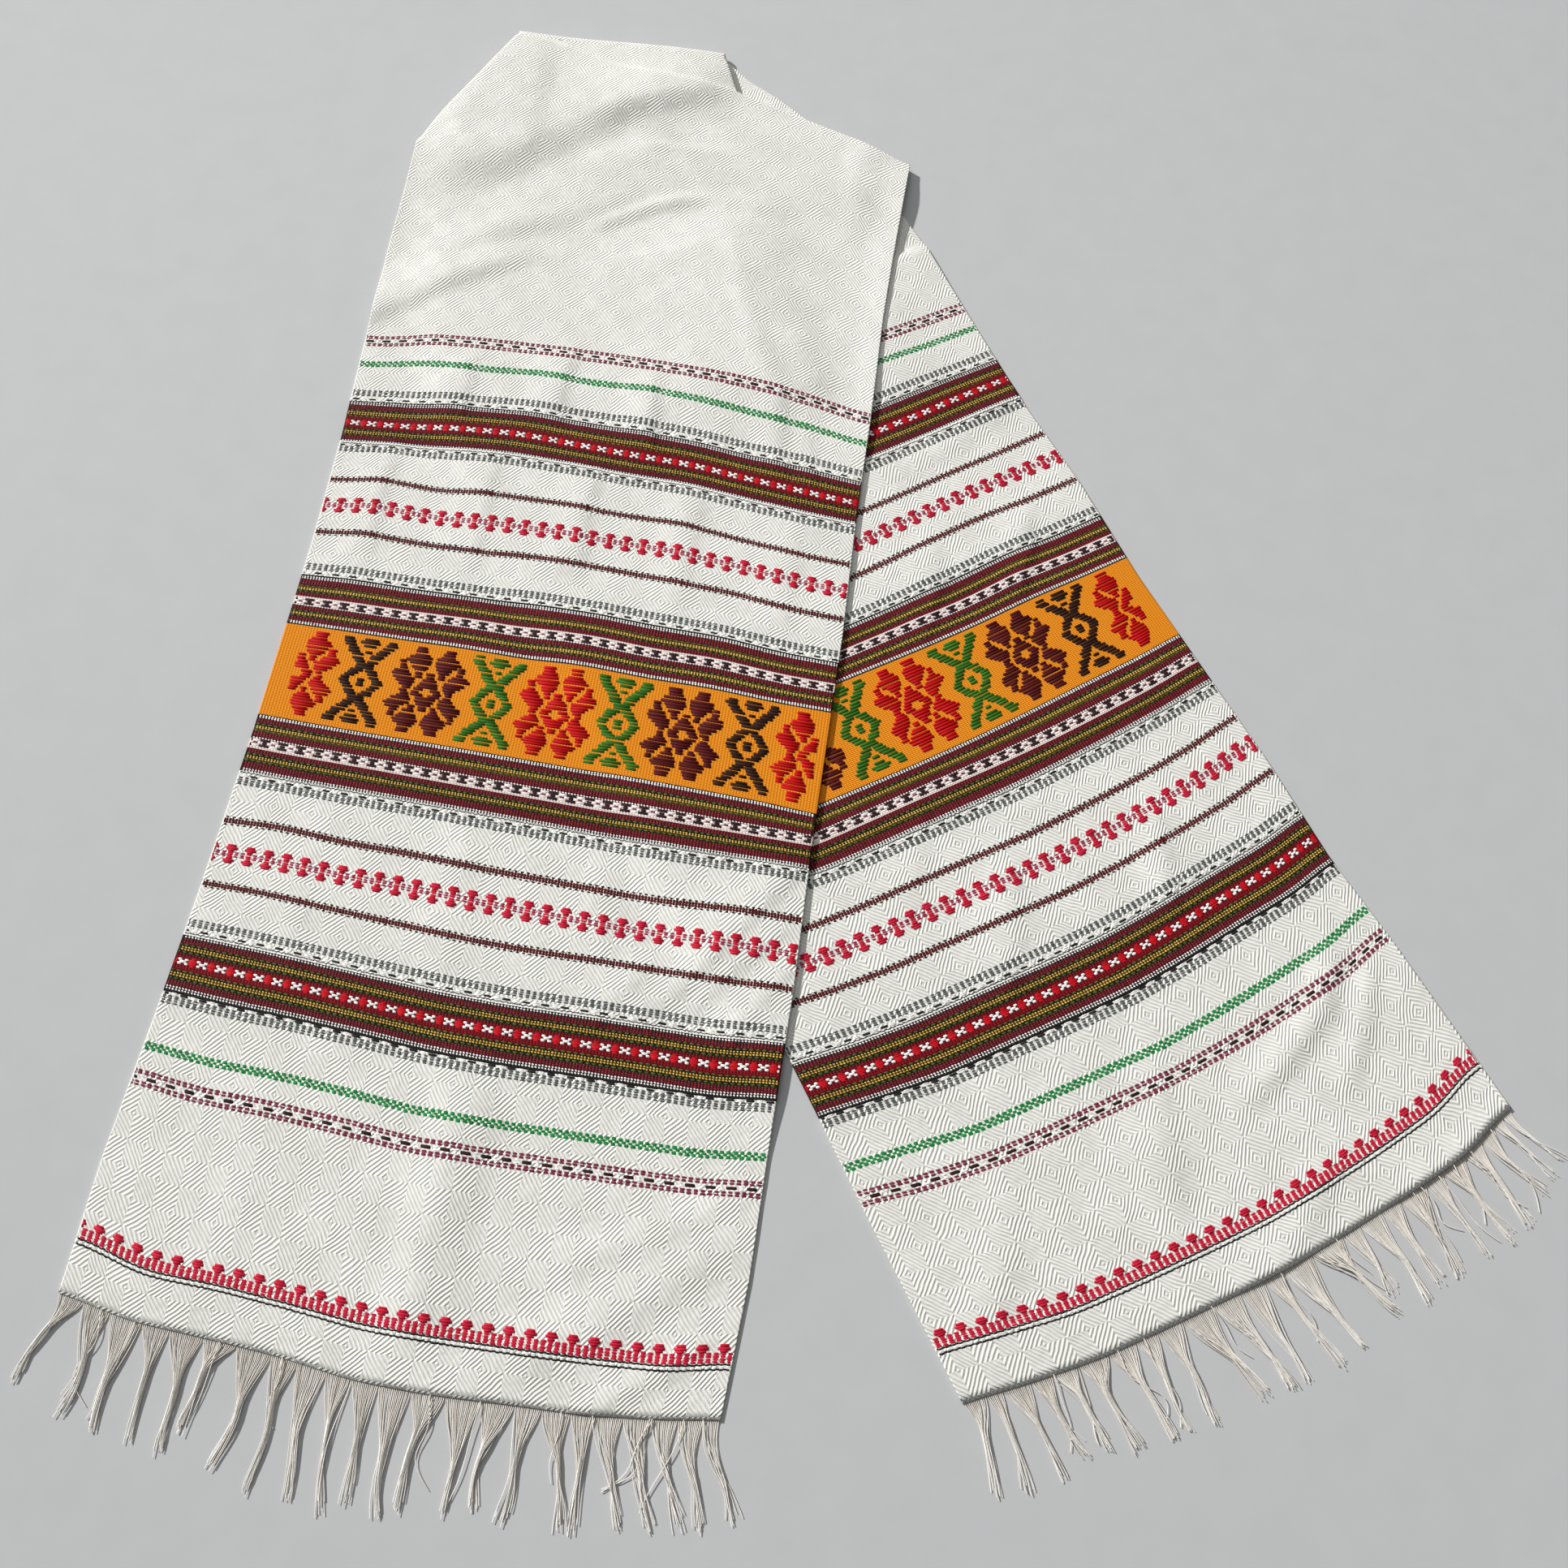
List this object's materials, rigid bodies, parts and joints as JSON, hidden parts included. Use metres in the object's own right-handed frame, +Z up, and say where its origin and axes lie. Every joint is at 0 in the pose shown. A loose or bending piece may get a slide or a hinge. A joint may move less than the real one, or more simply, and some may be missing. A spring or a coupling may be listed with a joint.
{
  "type": "rushnyk ritual towel",
  "caption": "Long woven ritual towel folded over near its middle, with both patterned ends fanned out in a V and fringed at the hems.",
  "frame": {"origin": "centre of the towel's outline as it lies, on the surface that it lies on", "axes": "+Z up from the surface, +Y from the hems towards the fold, +X to the right when seen from the hems"},
  "size_m": [0.826, 1.0186, 0.0098],
  "materials": {
    "cloth": "white cotton twill with woven bands in orange, red, maroon, green and black",
    "fringe": "loose unspun warp ends, greyish beige"
  },
  "bodies": {
    "root": {"cloth": "cloth", "fringe_front": "fringe", "fringe_back": "fringe"}
  },
  "joints": []
}
